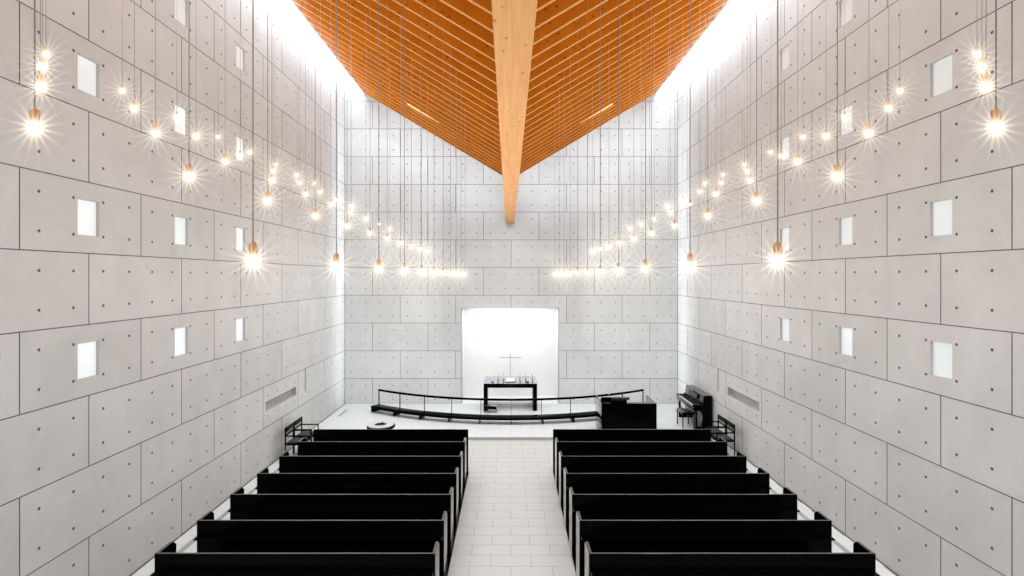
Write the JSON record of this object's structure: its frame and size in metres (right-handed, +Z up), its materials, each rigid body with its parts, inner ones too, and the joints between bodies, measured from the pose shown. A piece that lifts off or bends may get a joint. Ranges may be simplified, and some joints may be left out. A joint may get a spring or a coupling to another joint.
{
  "type": "church hall",
  "caption": "Concrete church hall, open at one end: V-shaped timber roof on a keel beam, glazed roof edges, small square windows, altar niche, communion rail and pews.",
  "frame": {"origin": "on the ground, under the middle of the hall's overall box", "axes": "+Z up, +Y along the nave towards the end wall with the altar, +X to the right when facing the altar"},
  "size_m": [12.82, 17.4, 12.2303],
  "materials": {
    "concrete": "fair-faced cast concrete with panel joints and tie holes",
    "white_render": "smooth white render",
    "floor_tile": "honed pale stone tile",
    "glulam": "glued laminated spruce, clear oil",
    "rafter_timber": "warm oiled timber",
    "glass": "clear to opal sheet glass",
    "black_lacquer": "polished black lacquer",
    "dark_steel": "dark waxed steel",
    "pale_stone": "honed pale stone",
    "blue_cloth": "dark blue wool cloth"
  },
  "bodies": {
    "root": {"nave_floor": "floor_tile", "chancel_platform": "floor_tile", "end_wall_left": "concrete", "end_wall_right": "concrete", "end_wall_upper": "concrete", "niche_sill": "white_render", "niche_shell": "white_render", "side_wall_left": "concrete", "side_wall_right": "concrete", "keel_beam": "glulam", "roof_slope_left": "rafter_timber", "roof_slope_right": "rafter_timber", "roof_kerb_left": "rafter_timber", "roof_kerb_right": "rafter_timber", "rooflight_left": "glass", "rooflight_right": "glass", "rooflight_end_left": "glass", "rooflight_end_right": "glass", "communion_rail": "dark_steel", "kneeler": "black_lacquer", "altar_table": "black_lacquer", "altar_cross": "dark_steel", "lectern": "black_lacquer", "font_bowl": "pale_stone", "font_stand": "dark_steel", "piano": "black_lacquer", "piano_stool": "black_lacquer", "altar_bench": "black_lacquer", "pew_plinth_left": "black_lacquer", "pew_plinth_right": "black_lacquer", "armchair_left_1": "black_lacquer", "armchair_left_2": "black_lacquer", "armchair_right_1": "black_lacquer", "armchair_right_2": "black_lacquer", "pew_screen_left": "black_lacquer", "pew_screen_right": "black_lacquer", "armchair_left_1_pad": "blue_cloth", "armchair_left_2_pad": "blue_cloth", "armchair_right_1_pad": "blue_cloth", "armchair_right_2_pad": "blue_cloth", "window_glass_left_1": "glass", "window_glass_left_2": "glass", "window_glass_left_3": "glass", "window_glass_left_4": "glass", "pew_left_1": "black_lacquer", "pew_left_2": "black_lacquer", "pew_left_3": "black_lacquer", "pew_left_4": "black_lacquer", "pew_left_5": "black_lacquer", "pew_left_6": "black_lacquer", "window_glass_right_1": "glass", "window_glass_right_2": "glass", "window_glass_right_3": "glass", "window_glass_right_4": "glass", "pew_right_1": "black_lacquer", "pew_right_2": "black_lacquer", "pew_right_3": "black_lacquer", "pew_right_4": "black_lacquer", "pew_right_5": "black_lacquer", "pew_right_6": "black_lacquer"}
  },
  "joints": []
}
